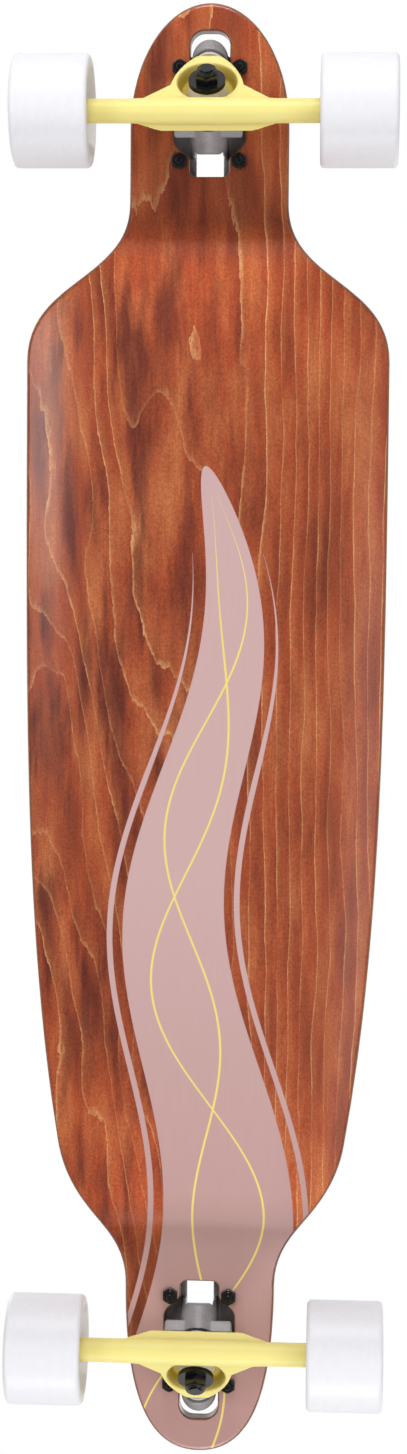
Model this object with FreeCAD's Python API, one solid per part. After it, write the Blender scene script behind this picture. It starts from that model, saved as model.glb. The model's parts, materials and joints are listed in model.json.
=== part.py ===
import FreeCAD, Part
import math
import os

os.makedirs("parts", exist_ok=True)
Vector = FreeCAD.Vector

# All lengths are in millimetres. +X points to the nose, +Y to the rider's left when facing the nose, +Z up.
# The floor is z = 0 and the middle of the board is over the origin.

# Overrun of every cutting body past the faces it cuts
overrun = 4.0

# Clearances
seat_clearance = 0.03
running_clearance = 0.06
bolt_hole_clearance = 0.4
cutout_clearance = 1.2
free_clearance = 0.5

# Deck. Setbacks are taken from the tip of the nose or of the tail
deck_length = 1016.0
deck_width = 252.0
deck_thickness = 11.0
deck_edge_round = 3.2
nose_round_length = 85.0
tail_side_ease = 78.0
tail_tip_ease = 37.5
front_neck_width = 110.0
rear_neck_width = 105.6
front_neck_setback = 136.0
front_shoulder_setback = 246.0
front_shoulder_ease = 57.0
side_front_share = 0.42
side_rear_share = 0.274
rear_shoulder_setback = 223.0
rear_shoulder_width = 202.0
rear_shoulder_ease = 50.0
rear_neck_setback = 120.0
rear_neck_ease = 42.0
rear_side_slope_share = 0.17
platform_drop = 8.0
bend_setback = 165.0
bend_pitch = 21.0
bend_pitch_shares = (-2.5, -1.5, -0.5, 0.5, 1.5, 2.5)
concave_flat = 84.0
concave_flat_shares = (0.25, 0.5, 0.75, 1.0)
concave_run = 46.0
concave_run_shares = (0.5, 1.0, 1.5)
concave_rise = 7.0

# Grip tape
grip_thickness = 0.8
grip_inset = 3.6
grip_level_long_share = 0.72
grip_level_cross_share = 0.7

# Places of the trucks, from the tip of the deck to the middle of the bolt pattern
front_truck_setback = 76.5
rear_truck_setback = 81.0
axle_setback = 7.0
bolt_spacing_long = 63.5
bolt_spacing_cross = 41.3

# Wheels
wheel_diameter = 75.0
wheel_width = 52.0
tyre_lip_round = 3.4
tyre_lip_height = 6.5
tyre_recess_depth = 11.0
tyre_recess_diameter = 40.0
core_diameter = 34.0
core_width = 27.0
core_lip_diameter = 25.0
core_web_diameter = 19.0

# Bearings
bearing_bore = 8.0
bearing_diameter = 22.0
bearing_width = 7.0
bearing_spacing = 10.0
inner_ring_diameter = 11.9
outer_ring_bore = 18.7
ball_pitch_diameter = 15.3
ball_diameter = 3.9
ball_count = 7
shield_thickness = 0.5
shield_inset = 0.5
shield_bore = 12.6
bearing_spacer_diameter = 10.0

# Hanger, in a frame tilted with the pivot axis: along it, across the board, and square to both
pivot_angle = 42.0
hanger_width = 180.0
hanger_bar_diameter = 16.4
hanger_middle_diameter = 18.0
hanger_middle_width = 60.0
hanger_taper_width = 100.0
hanger_end_diameter = 14.8
hanger_end_bevel = 2.0
ring_reach = 25.0
pivot_offset = 9.5
ring_thickness = 6.0
ring_hole_diameter = 16.0
yoke_lip_height = 9.5
yoke_back_height = 4.5
yoke_root_width = 106.0
yoke_root_reach = 11.0
yoke_flare_share = 0.66
yoke_ring_width = 50.0
yoke_ring_reach = 26.0
yoke_bulge_width = 38.0
yoke_bulge_share = 0.5625
yoke_tip_width = 16.0
yoke_tip_setback = 6.5
web_start = 2.0
web_end = 8.0
web_width = 150.0
web_back_width = 63.0
dish_diameter = 41.0
dish_floor_diameter = 35.0
dish_shift = 3.5
stem_root_diameter = 22.0
stem_root_setback = 28.5
stem_neck_setback = 14.5
stem_neck_diameter = 20.0
nose_diameter = 13.6
nose_tip_diameter = 11.6
nose_length = 8.5
nose_round = 3.0
hanger_edge_round = 2.0

# Pivot cup
cup_mouth_reach = 64.5
cup_wall = 1.4
cup_floor = 1.5
cup_rim_diameter = 20.0
cup_rim_thickness = 2.4

# Kingpin and what it clamps
kingpin_diameter = 9.5
kingpin_head_height = 6.0
kingpin_head_flats = 14.3
kingpin_nut_flats = 14.3
kingpin_nut_height = 6.2
kingpin_end = 1.0
kingpin_seat_wall = 7.5
bushing_diameter = 27.0
bushing_bevel = 1.2
boardside_bushing_height = 12.0
roadside_bushing_height = 12.0
roadside_bushing_top_diameter = 20.8
roadside_washer_diameter = 24.8
boardside_washer_diameter = 27.0
washer_thickness = 1.5
washer_rim_height = 2.0
washer_rim_width = 1.2

# Base plate
deck_clearance = 51.0
flange_thickness = 6.0
flange_length = 84.0
flange_width = 57.0
flange_corner_round = 9.0
flange_edge_round = 1.2
wedge_back = 21.0
wedge_tip_drop = 9.0
wedge_narrow_width = 25.0
wedge_wide_width = 47.0
wedge_wide_start = 12.0
wedge_wide_stop = 20.0
wedge_narrow_stop = 31.0
wedge_plate_depth = 9.0
wedge_shoulder_round = 8.0
flange_slot_width = 19.0
flange_slot_end = 10.0
flange_slot_depth = 16.0
boss_overhang = 16.1
kingpin_pocket_diameter = 17.6

# Cut-out through the deck for the base plate, from the middle of the bolt pattern
cutout_tip_clearance = 6.8
cutout_inner_end = 42.0
cutout_inner_round = 5.0
cutout_outer_round = 10.0
cutout_edge_round = 1.5

# Fasteners through the deck
bolt_diameter = 4.8
bolt_length = 25.4
bolt_head_diameter = 9.4
bolt_head_height = 2.8
bolt_head_round = 1.6
bolt_recess_width = 1.1
bolt_recess_length = 5.0
bolt_recess_depth = 1.5
bolt_nut_flats = 10.2
bolt_nut_height = 4.2
bolt_collar_diameter = 9.4
bolt_collar_height = 1.8
thread_bevel = 0.5

# Axle and its fasteners
axle_diameter = 8.0
axle_end_bevel = 0.8
axle_end = 2.2
speed_washer_thickness = 0.8
speed_washer_diameter = 11.0
axle_nut_flats = 12.7
axle_nut_height = 5.0
axle_collar_diameter = 11.6
axle_collar_height = 1.8
kingpin_collar_diameter = 13.2
kingpin_collar_height = 2.0

# Worked-out places
front_neck_end = deck_length / 2 - front_neck_setback
front_shoulder_end = deck_length / 2 - front_shoulder_setback
rear_shoulder_start = deck_length / 2 - rear_shoulder_setback
rear_neck_start = deck_length / 2 - rear_neck_setback
side_run = front_shoulder_end + rear_shoulder_start
side_ease_front = side_run * side_front_share
side_ease_rear = side_run * side_rear_share
bend_place = deck_length / 2 - bend_setback
front_truck_place = deck_length / 2 - front_truck_setback
rear_truck_place = deck_length / 2 - rear_truck_setback
yoke_flare_width = yoke_ring_width + (yoke_root_width - yoke_ring_width) * yoke_flare_share
yoke_tip_reach = cup_mouth_reach - yoke_tip_setback
yoke_bulge_reach = yoke_ring_reach + (yoke_tip_reach - yoke_ring_reach) * yoke_bulge_share
stem_root_reach = cup_mouth_reach - stem_root_setback
stem_neck_reach = cup_mouth_reach - stem_neck_setback
axle_height = wheel_diameter / 2
deck_underside = axle_height + deck_clearance
platform_underside = deck_underside - platform_drop
flange_low = deck_clearance + deck_thickness + grip_thickness
flange_high = flange_low + flange_thickness
hanger_end = hanger_width / 2
wheel_place = hanger_end + speed_washer_thickness + bearing_width + bearing_spacing / 2
bearing_offset = (bearing_spacing + bearing_width) / 2
bearing_stack = 2 * bearing_width + bearing_spacing
axle_nut_seat = hanger_end + 2 * speed_washer_thickness + bearing_stack
axle_half = axle_nut_seat + axle_nut_height + axle_collar_height + axle_end
ring_low = pivot_offset - ring_thickness / 2
ring_high = pivot_offset + ring_thickness / 2
roadside_washer_seat = ring_low - roadside_bushing_height
kingpin_nut_seat = roadside_washer_seat - washer_thickness
kingpin_tip = kingpin_nut_seat - kingpin_nut_height - kingpin_collar_height - kingpin_end
boardside_washer_seat = ring_high + boardside_bushing_height
wedge_seat = boardside_washer_seat + washer_thickness
kingpin_head_seat = wedge_seat + kingpin_seat_wall
cup_bore = nose_diameter + 2 * running_clearance
cup_diameter = cup_bore + 2 * cup_wall
cup_depth = nose_length + cup_floor + free_clearance
boss_width = wedge_narrow_width

origin = Vector(0, 0, 0)
along_x = Vector(1, 0, 0)
along_y = Vector(0, 1, 0)
along_z = Vector(0, 0, 1)


# Solid prism from points in the plan, between two heights
def plan_prism(points, low, high):
    corners = [Vector(x, y, low) for x, y in points]
    face = Part.Face(Part.makePolygon(corners + corners[:1]))
    return face.extrude(Vector(0, 0, high - low))


# Mirror-even prism: half widths along X, taken to both sides
def even_prism(stations, low, high):
    left = [(x, half) for x, half in stations]
    right = [(x, -half) for x, half in reversed(stations)]
    return plan_prism(left + right, low, high)


# Solid prism from points in a lengthwise upright plane, taken to both sides
def side_prism(points, half_width):
    corners = [Vector(x, -half_width, z) for x, z in points]
    face = Part.Face(Part.makePolygon(corners + corners[:1]))
    return face.extrude(Vector(0, 2 * half_width, 0))


# Turned body about Z from points of radius and height
def turned(points):
    corners = [Vector(radius, 0, height) for radius, height in points]
    face = Part.Face(Part.makePolygon(corners + corners[:1]))
    return face.revolve(origin, along_z, 360)


def turned_to_y(shape):
    shape.rotate(origin, along_x, -90)
    return shape


def turned_to_x(shape):
    shape.rotate(origin, along_y, 90)
    return shape


def moved(shape, x, y, z):
    copy = shape.copy()
    copy.translate(Vector(x, y, z))
    return copy


def ring(outer, inner, low, high):
    return turned([(inner / 2, low), (outer / 2, low), (outer / 2, high), (inner / 2, high)])


def hexagon(flats, low, high):
    reach = flats / 2 / math.cos(math.pi / 6)
    points = [(reach * math.cos(math.pi / 3 * i), reach * math.sin(math.pi / 3 * i)) for i in range(6)]
    return plan_prism(points, low, high)


# Rounds the edges of a body that pass a test
def rounded(shape, radius, wanted):
    edges = [edge for edge in shape.Edges if wanted(edge)]
    return shape.makeFillet(radius, edges)


# Rounds the upright edges of a body at one place along X
def rounded_upright(shape, radius, place):
    return rounded(shape, radius, lambda edge: edge.BoundBox.ZLength > seat_clearance
                   and abs(edge.BoundBox.XMin - place) + edge.BoundBox.XLength < seat_clearance)


# Lock nut standing up from z = 0: hexagon with bevelled corners, then the round collar
def lock_nut(flats, height, collar, collar_height, bore):
    corner = flats / 2 / math.cos(math.pi / 6)
    bevel = corner - flats / 2
    crown = turned([(0, 0), (flats / 2, 0), (corner, bevel), (corner, height - bevel),
                    (flats / 2, height), (0, height)])
    body = hexagon(flats, 0, height).common(crown)
    top = height + collar_height
    round_top = turned([(0, height), (collar / 2, height), (collar / 2, top - thread_bevel),
                        (collar / 2 - thread_bevel, top), (0, top)])
    hole = Part.makeCylinder(bore / 2, top + 2 * overrun, Vector(0, 0, -overrun))
    return body.fuse(round_top).cut(hole).removeSplitter()


# Bodies of the tilted frame of a truck are turned into the truck's frame, about the axle
def tilted(shape):
    copy = shape.copy()
    copy.rotate(origin, along_y, -pivot_angle)
    return copy


# A truck's bodies go to the front, or turned about to the rear
def at_truck(shape, end):
    copy = shape.copy()
    if end == "front":
        copy.translate(Vector(front_truck_place - axle_setback, 0, axle_height))
    else:
        copy.rotate(origin, along_z, 180)
        copy.translate(Vector(axle_setback - rear_truck_place, 0, axle_height))
    return copy


def save(name, shape):
    shape.exportStep(os.path.join("parts", name + ".step"))


def group(shapes):
    return Part.makeCompound(shapes)


# Deck: a dropped platform with raised sides, and flat necks that hold the trucks
def deck_sheet(height, thickness):
    half = [bend_place + bend_pitch * share for share in bend_pitch_shares]
    half = half + [deck_length / 2 + overrun]
    stations = [-x for x in reversed(half)] + [0] + half
    side = [concave_flat * share for share in concave_flat_shares]
    side = side + [concave_flat + concave_run * share for share in concave_run_shares]
    rise = [0 for share in concave_flat_shares]
    rise = rise + [concave_rise * share ** 2 for share in concave_run_shares]
    across = [-y for y in reversed(side)] + side
    lift = list(reversed(rise)) + rise
    poles = []
    for x in stations:
        step = platform_drop if abs(x) > bend_place else 0
        poles.append([Vector(x, y, height + step + up) for y, up in zip(across, lift)])
    sheet = Part.BSplineSurface()
    spans_x = len(stations) - 3
    spans_y = len(across) - 3
    sheet.buildFromPolesMultsKnots(poles, [4] + [1] * (spans_x - 1) + [4], [4] + [1] * (spans_y - 1) + [4],
                                   list(range(spans_x + 1)), list(range(spans_y + 1)), False, False, 3, 3)
    return sheet.toShape().extrude(Vector(0, 0, thickness))


def easy_curve(points):
    curve = Part.BezierCurve()
    curve.setPoles([Vector(x, y, 0) for x, y in points])
    return curve.toShape()


# Closed outline of the deck, or of what lies on it with an inset all round
def deck_outline(inset):
    nose_middle = deck_length / 2 - nose_round_length
    tail = inset - deck_length / 2
    wide = deck_width / 2 - inset
    front_neck = front_neck_width / 2 - inset
    rear_neck = rear_neck_width / 2 - inset
    rear_wide = rear_shoulder_width / 2 - inset
    side_rise = side_ease_rear * rear_side_slope_share
    shoulder_fall = rear_shoulder_ease * rear_side_slope_share
    left = [
        Part.makeLine(Vector(nose_middle, front_neck, 0), Vector(front_neck_end, front_neck, 0)),
        easy_curve([(front_neck_end, front_neck), (front_neck_end - front_shoulder_ease, front_neck),
                    (front_shoulder_end + front_shoulder_ease, wide), (front_shoulder_end, wide)]),
        easy_curve([(front_shoulder_end, wide), (front_shoulder_end - side_ease_front, wide),
                    (side_ease_rear - rear_shoulder_start, rear_wide + side_rise),
                    (-rear_shoulder_start, rear_wide)]),
        easy_curve([(-rear_shoulder_start, rear_wide),
                    (-rear_shoulder_start - rear_shoulder_ease, rear_wide - shoulder_fall),
                    (rear_neck_ease - rear_neck_start, rear_neck), (-rear_neck_start, rear_neck)]),
        easy_curve([(-rear_neck_start, rear_neck), (-rear_neck_start - tail_side_ease, rear_neck),
                    (tail, tail_tip_ease), (tail, 0)]),
    ]
    right = [edge.mirror(origin, along_y) for edge in left]
    nose = Part.Ellipse(Vector(nose_middle, 0, 0), nose_round_length - inset, front_neck)
    quarter = math.pi / 2
    cap = Part.ArcOfEllipse(nose, -quarter, quarter).toShape()
    return Part.Wire(Part.sortEdges(left + right + [cap])[0])


# Hole through the deck for one truck: a long slot between the bolts and a wider middle
def truck_cutout():
    low = deck_clearance - platform_drop - overrun
    high = flange_high + overrun
    half = boss_width / 2 + cutout_clearance
    outer = boss_tip() + cutout_tip_clearance
    inner = axle_setback - cutout_inner_end
    slot = Part.makeBox(outer - inner, 2 * half, high - low, Vector(inner, -half, low))
    hole = slot.fuse(shoulder_plan(cutout_clearance, low, high)).removeSplitter()
    hole = rounded_upright(hole, cutout_outer_round, outer)
    for place in (inner, -wedge_back - cutout_clearance, wedge_narrow_stop + cutout_clearance):
        hole = rounded_upright(hole, cutout_inner_round, place)
    return hole


def bolt_places():
    return [(axle_setback + sx * bolt_spacing_long / 2, sy * bolt_spacing_cross / 2)
            for sx in (-1, 1) for sy in (-1, 1)]


def bolt_holes(low, high):
    radius = bolt_diameter / 2 + bolt_hole_clearance
    return [Part.makeCylinder(radius, high - low, Vector(x, y, low)) for x, y in bolt_places()]


# A body cut out for both trucks, or drilled for their bolts
def cut_at_trucks(body, cutters):
    return body.cut([at_truck(cutter, end) for cutter in cutters for end in ("front", "rear")])


def drilled(body):
    return cut_at_trucks(body, bolt_holes(deck_clearance - platform_drop - overrun, flange_high + overrun))


def outline_prism(inset):
    face = Part.Face(deck_outline(inset))
    low = platform_underside - overrun
    high = deck_underside + 2 * (deck_thickness + concave_rise) + overrun
    face.translate(Vector(0, 0, low))
    return face.extrude(Vector(0, 0, high - low))


# True for the edges where the truck cut-outs open on the underside
def at_cutout_underside(edge):
    box = edge.BoundBox
    level = abs(box.ZMin - deck_underside) + box.ZLength < seat_clearance
    reach = wedge_wide_width / 2 + cutout_clearance + seat_clearance
    return level and box.YMin > -reach and box.YMax < reach


def deck():
    body = deck_sheet(platform_underside, deck_thickness).common(outline_prism(0))
    body = rounded(body, deck_edge_round,
                   lambda edge: edge.BoundBox.ZLength < deck_thickness / 2 or edge.Length > deck_width)
    body = cut_at_trucks(body, [truck_cutout()])
    return drilled(rounded(body, cutout_edge_round, at_cutout_underside))


# Level middle of the tape, where feet rest: a flat plate within the formed sheet
def grip_level(margin):
    length = 2 * bend_place * grip_level_long_share
    width = 2 * concave_flat * grip_level_cross_share
    low = platform_underside + deck_thickness - margin
    return Part.makeBox(length, width, grip_thickness + 2 * margin, Vector(-length / 2, -width / 2, low))


def grip_tape():
    sheet = deck_sheet(platform_underside + deck_thickness, grip_thickness)
    sheet = sheet.cut(grip_level(overrun)).fuse(grip_level(0))
    return drilled(cut_at_trucks(sheet.common(outline_prism(grip_inset)), [truck_cutout()]))


# Base plate: flange on the deck, wedge that carries the kingpin, and boss that holds the pivot cup
def slope_point(reach, height):
    along = math.cos(math.radians(pivot_angle))
    upward = math.sin(math.radians(pivot_angle))
    return (reach * along - height * upward, reach * upward + height * along)


# Outer end of the boss, past the mouth of the cup that it holds
def boss_tip():
    return slope_point(cup_mouth_reach, pivot_offset)[0] + boss_overhang


def baseplate_flange():
    half = flange_width / 2
    flange = Part.makeBox(flange_length, flange_width, flange_thickness,
                          Vector(axle_setback - flange_length / 2, -half, flange_low))
    flange = rounded(flange, flange_corner_round, lambda edge: edge.BoundBox.ZLength > flange_thickness / 2)
    return rounded(flange, flange_edge_round,
                   lambda edge: edge.BoundBox.ZMin > flange_high - seat_clearance)


# Plan of the wedge's shoulders, grown by a margin for the hole they pass through
def shoulder_plan(margin, low, high):
    narrow = wedge_narrow_width / 2 + margin
    wide = wedge_wide_width / 2 + margin
    start = -wedge_wide_start - margin
    stop = wedge_wide_stop + margin
    plan = even_prism([(-wedge_back - margin, narrow), (start, wide), (stop, wide),
                       (wedge_narrow_stop + margin, narrow)], low, high)
    plan = rounded_upright(plan, wedge_shoulder_round + margin, start)
    return rounded_upright(plan, wedge_shoulder_round + margin, stop)


# Wedge: a round post about the kingpin, with a plate behind it that spreads to the shoulders
def baseplate_wedge():
    post = Part.makeCylinder(wedge_narrow_width / 2, flange_high, Vector(ring_reach, 0, wedge_seat))
    half = Part.makeBox(flange_length, wedge_narrow_width, flange_high,
                        Vector(ring_reach, -wedge_narrow_width / 2, wedge_seat))
    room = Part.makeBox(wedge_back + flange_length, wedge_wide_width, flange_high,
                        Vector(-wedge_back, -wedge_wide_width / 2, 0))
    post = tilted(post.fuse(half)).common(room)
    tip = slope_point(ring_reach - wedge_tip_drop, wedge_seat)
    low_end = slope_point(ring_reach - wedge_tip_drop, wedge_seat + wedge_plate_depth)
    rise = math.tan(math.radians(pivot_angle))
    top = (tip[0] + (flange_high - tip[1]) / rise, flange_high)
    back_top = (low_end[0] + (flange_high - low_end[1]) / rise, flange_high)
    plate = side_prism([tip, low_end, back_top, top], wedge_wide_width / 2)
    return post.fuse(plate.common(shoulder_plan(0, 0, flange_high)))


def baseplate_boss():
    bottom = cup_mouth_reach + cup_depth + flange_high
    half = boss_width / 2
    cylinder = Part.makeCylinder(half, bottom - cup_mouth_reach, Vector(0, 0, cup_mouth_reach))
    cylinder = tilted(moved(turned_to_x(cylinder), 0, 0, pivot_offset))
    middle = boss_tip() - half
    block = Part.makeBox(middle, boss_width, flange_high, Vector(0, -half, 0))
    plan = block.fuse(Part.makeCylinder(half, flange_high, Vector(middle, 0, 0)))
    return cylinder.common(plan)


def baseplate():
    body = baseplate_flange().fuse([baseplate_wedge(), baseplate_boss()])
    cup_hole = Part.makeCylinder(cup_diameter / 2 + seat_clearance, cup_depth + overrun,
                                 Vector(0, 0, cup_mouth_reach - overrun))
    cup_hole = tilted(moved(turned_to_x(cup_hole), 0, 0, pivot_offset))
    shaft = Part.makeCylinder(kingpin_diameter / 2 + seat_clearance, flange_high,
                              Vector(ring_reach, 0, wedge_seat - overrun))
    pocket = Part.makeCylinder(kingpin_pocket_diameter / 2, flange_high,
                               Vector(ring_reach, 0, kingpin_head_seat))
    slot_low = flange_low - flange_slot_depth
    slot = Part.makeBox(flange_length, flange_slot_width, flange_high + overrun - slot_low,
                        Vector(-flange_slot_end - flange_length, -flange_slot_width / 2, slot_low))
    holes = bolt_holes(flange_low - overrun, flange_high + overrun)
    return body.cut([cup_hole, tilted(shaft), tilted(pocket), slot] + holes).removeSplitter()


def pivot_cup():
    rim = cup_mouth_reach - cup_rim_thickness
    bottom = cup_mouth_reach + cup_depth
    inner = bottom - cup_floor
    body = turned([(cup_bore / 2, rim), (cup_rim_diameter / 2, rim), (cup_rim_diameter / 2, cup_mouth_reach),
                   (cup_diameter / 2, cup_mouth_reach), (cup_diameter / 2, bottom), (0, bottom), (0, inner),
                   (nose_tip_diameter / 2 + running_clearance, inner), (cup_bore / 2, cup_mouth_reach)])
    return tilted(moved(turned_to_x(body), 0, 0, pivot_offset))


# Kingpin and the stack on it, along the tilted frame's upright
def kingpin():
    radius = kingpin_diameter / 2
    end = radius - thread_bevel
    shaft = turned([(0, kingpin_tip), (end, kingpin_tip), (radius, kingpin_tip + thread_bevel),
                    (radius, kingpin_head_seat), (0, kingpin_head_seat)])
    head = hexagon(kingpin_head_flats, kingpin_head_seat, kingpin_head_seat + kingpin_head_height)
    return tilted(moved(shaft.fuse(head).removeSplitter(), ring_reach, 0, 0))


def kingpin_nut():
    nut = lock_nut(kingpin_nut_flats, kingpin_nut_height, kingpin_collar_diameter, kingpin_collar_height,
                   kingpin_diameter + 2 * seat_clearance)
    nut.rotate(origin, along_x, 180)
    return tilted(moved(nut, ring_reach, 0, kingpin_nut_seat))


def bushing_washers():
    bore = kingpin_diameter / 2 + seat_clearance
    roadside = roadside_washer_diameter / 2
    inner = roadside - washer_rim_width
    seat = roadside_washer_seat
    rim = seat + washer_rim_height
    low = turned([(bore, seat - washer_thickness), (roadside, seat - washer_thickness),
                  (roadside, rim), (inner, rim), (inner, seat), (bore, seat)])
    high = ring(boardside_washer_diameter, 2 * bore, boardside_washer_seat, wedge_seat)
    return group([tilted(moved(shape, ring_reach, 0, 0)) for shape in (low, high)])


def boardside_bushing():
    radius = bushing_diameter / 2
    bore = kingpin_diameter / 2 + seat_clearance
    top = boardside_washer_seat
    end = radius - bushing_bevel
    body = turned([(bore, ring_high), (end, ring_high), (radius, ring_high + bushing_bevel),
                   (radius, top - bushing_bevel), (end, top), (bore, top)])
    return tilted(moved(body, ring_reach, 0, 0))


def roadside_bushing():
    radius = bushing_diameter / 2
    bore = kingpin_diameter / 2 + seat_clearance
    end = roadside_bushing_top_diameter / 2
    seat = roadside_washer_seat
    body = turned([(bore, seat), (end, seat), (end, seat + washer_rim_height),
                   (radius, ring_low - bushing_bevel), (radius - bushing_bevel, ring_low), (bore, ring_low)])
    return tilted(moved(body, ring_reach, 0, 0))


# Hanger: bar for the axle, yoke with the bushing dish, and pivot nose
def hanger_bar():
    thin = hanger_bar_diameter / 2
    thick = hanger_middle_diameter / 2
    half = [(thin, hanger_taper_width / 2), (thin, hanger_end - hanger_end_bevel),
            (hanger_end_diameter / 2, hanger_end), (0, hanger_end)]
    middle = [(thick, -hanger_middle_width / 2), (thick, hanger_middle_width / 2)]
    lower = [(radius, -place) for radius, place in reversed(half)]
    return turned_to_y(turned(lower + middle + half))


# Section of the casting across the board: wide along the bar, narrower towards the deck
def hanger_section(start, end):
    high = ring_high + yoke_back_height
    wide = web_width / 2
    narrow = web_back_width / 2
    corners = [Vector(start, y, z) for y, z in ((-wide, 0), (wide, 0), (narrow, high), (-narrow, high))]
    face = Part.Face(Part.makePolygon(corners + corners[:1]))
    return face.extrude(Vector(end - start, 0, 0))


# Yoke seen along the kingpin: flanks that fall from the bar, then round in to the tip
def hanger_yoke():
    low = ring_low - yoke_lip_height
    high = ring_high + yoke_back_height
    root = Vector(0, yoke_root_width / 2, low)
    flare = Vector(yoke_root_reach, yoke_flare_width / 2, low)
    flank = Vector(yoke_ring_reach, yoke_ring_width / 2, low)
    bulge = Vector(yoke_bulge_reach, yoke_bulge_width / 2, low)
    tip = Vector(yoke_tip_reach, yoke_tip_width / 2, low)
    left = [Part.makeLine(root, flare), Part.makeLine(flare, flank), Part.Arc(flank, bulge, tip).toShape()]
    right = [edge.mirror(origin, along_y) for edge in left]
    ends = [Part.makeLine(point, Vector(point.x, -point.y, low)) for point in (root, tip)]
    face = Part.Face(Part.Wire(Part.sortEdges(left + right + ends)[0]))
    body = face.extrude(Vector(0, 0, high - low))
    body = rounded(body, hanger_edge_round,
                   lambda edge: edge.BoundBox.XMin > yoke_root_reach - seat_clearance)
    lips = Part.makeBox(yoke_tip_reach, yoke_root_width, -low, Vector(0, -yoke_root_width / 2, low))
    return body.common(hanger_section(0, yoke_tip_reach).fuse(lips))


def hanger_stem():
    mouth = cup_mouth_reach - cup_rim_thickness
    tip = cup_mouth_reach + nose_length
    body = turned([(0, stem_root_reach), (stem_root_diameter / 2, stem_root_reach),
                   (stem_neck_diameter / 2, stem_neck_reach), (nose_diameter / 2, mouth - free_clearance),
                   (nose_diameter / 2, cup_mouth_reach), (nose_tip_diameter / 2, tip), (0, tip)])
    body = rounded(body, nose_round, lambda edge: edge.BoundBox.ZMin > tip - seat_clearance)
    return moved(turned_to_x(body), 0, 0, pivot_offset)


def hanger():
    body = hanger_bar().fuse([hanger_yoke(), hanger_section(web_start, web_end), hanger_stem()])
    lip = ring_low - yoke_lip_height
    flare = (dish_diameter - dish_floor_diameter) / 2 / yoke_lip_height
    dish = Part.makeCone(dish_diameter / 2 + flare * overrun, dish_floor_diameter / 2,
                         yoke_lip_height + overrun, Vector(ring_reach + dish_shift, 0, lip - overrun))
    hole = Part.makeCylinder(ring_hole_diameter / 2, ring_thickness + 2 * overrun,
                             Vector(ring_reach, 0, ring_low - overrun))
    seat = Part.makeCylinder(bushing_diameter / 2 + free_clearance, boardside_bushing_height,
                             Vector(ring_reach, 0, ring_high))
    bore = turned_to_y(Part.makeCylinder(axle_diameter / 2 + seat_clearance, hanger_width + 2 * overrun,
                                         Vector(0, 0, -hanger_end - overrun)))
    return tilted(body.cut([dish, hole, seat, bore]).removeSplitter())


# Axle with its nuts and washers
def axle():
    radius = axle_diameter / 2
    end = radius - axle_end_bevel
    shoulder = axle_half - axle_end_bevel
    body = turned([(0, -axle_half), (end, -axle_half), (radius, -shoulder), (radius, shoulder),
                   (end, axle_half), (0, axle_half)])
    return turned_to_y(body)


def both_ends(shape):
    return [shape, shape.mirror(origin, along_y)]


def axle_nuts():
    nut = lock_nut(axle_nut_flats, axle_nut_height, axle_collar_diameter, axle_collar_height,
                   axle_diameter + 2 * seat_clearance)
    return group(both_ends(moved(turned_to_y(nut), 0, axle_nut_seat, 0)))


def speed_washers():
    bore = axle_diameter + 2 * seat_clearance
    washer = turned_to_y(ring(speed_washer_diameter, bore, 0, speed_washer_thickness))
    outer = axle_nut_seat - speed_washer_thickness
    return group(both_ends(moved(washer, 0, hanger_end, 0)) + both_ends(moved(washer, 0, outer, 0)))


# Fasteners of a truck
def mounting_bolts():
    head = Part.makeCylinder(bolt_head_diameter / 2, bolt_head_height)
    head = rounded(head, bolt_head_round, lambda edge: edge.BoundBox.ZMin > bolt_head_height - seat_clearance)
    radius = bolt_diameter / 2
    shank = turned([(0, -bolt_length), (radius - thread_bevel, -bolt_length),
                    (radius, thread_bevel - bolt_length), (radius, 0), (0, 0)])
    low = bolt_head_height - bolt_recess_depth
    slot = Part.makeBox(bolt_recess_length, bolt_recess_width, bolt_head_height,
                        Vector(-bolt_recess_length / 2, -bolt_recess_width / 2, low))
    cross = slot.copy()
    cross.rotate(origin, along_z, 90)
    bolt = head.fuse(shank).cut([slot, cross]).removeSplitter()
    return group([moved(bolt, x, y, flange_high) for x, y in bolt_places()])


def mounting_nuts():
    nut = lock_nut(bolt_nut_flats, bolt_nut_height, bolt_collar_diameter, bolt_collar_height,
                   bolt_diameter + 2 * seat_clearance)
    nut.rotate(origin, along_x, 180)
    return group([moved(nut, x, y, deck_clearance) for x, y in bolt_places()])


# Wheel pieces about their own middle, turning about Y
def tyre():
    radius = wheel_diameter / 2
    half = wheel_width / 2
    face = half - tyre_recess_depth
    lip = radius - tyre_lip_height
    bore = core_diameter / 2 + seat_clearance
    recess = tyre_recess_diameter / 2
    body = turned([(bore, -face), (recess, -face), (lip, -half), (radius, -half), (radius, half), (lip, half),
                   (recess, face), (bore, face)])
    body = rounded(body, tyre_lip_round, lambda edge: edge.BoundBox.XMax > radius - seat_clearance
                   and edge.BoundBox.ZLength < seat_clearance)
    return turned_to_y(body)


def wheel_core():
    outer = core_diameter / 2
    half = core_width / 2
    lip = core_lip_diameter / 2
    seat = bearing_diameter / 2 + seat_clearance
    web = core_web_diameter / 2
    step = bearing_spacing / 2
    shelf = step + bearing_width
    body = turned([(web, -step), (seat, -step), (seat, -shelf), (lip, -half), (outer, -half),
                   (outer, half), (lip, half), (seat, shelf), (seat, step), (web, step)])
    return turned_to_y(body)


def race(radius_in, radius_out):
    half = bearing_width / 2
    body = turned([(radius_in, -half), (radius_out, -half), (radius_out, half), (radius_in, half)])
    groove = Part.makeTorus(ball_pitch_diameter / 2, ball_diameter / 2 + running_clearance)
    return turned_to_y(body.cut(groove))


def both_bearings(shapes):
    return group([moved(shape, 0, side * bearing_offset, 0) for side in (-1, 1) for shape in shapes])


def bearing_outer_rings():
    return both_bearings([race(outer_ring_bore / 2, bearing_diameter / 2)])


def bearing_inner_rings():
    return both_bearings([race(bearing_bore / 2 + seat_clearance, inner_ring_diameter / 2)])


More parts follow.
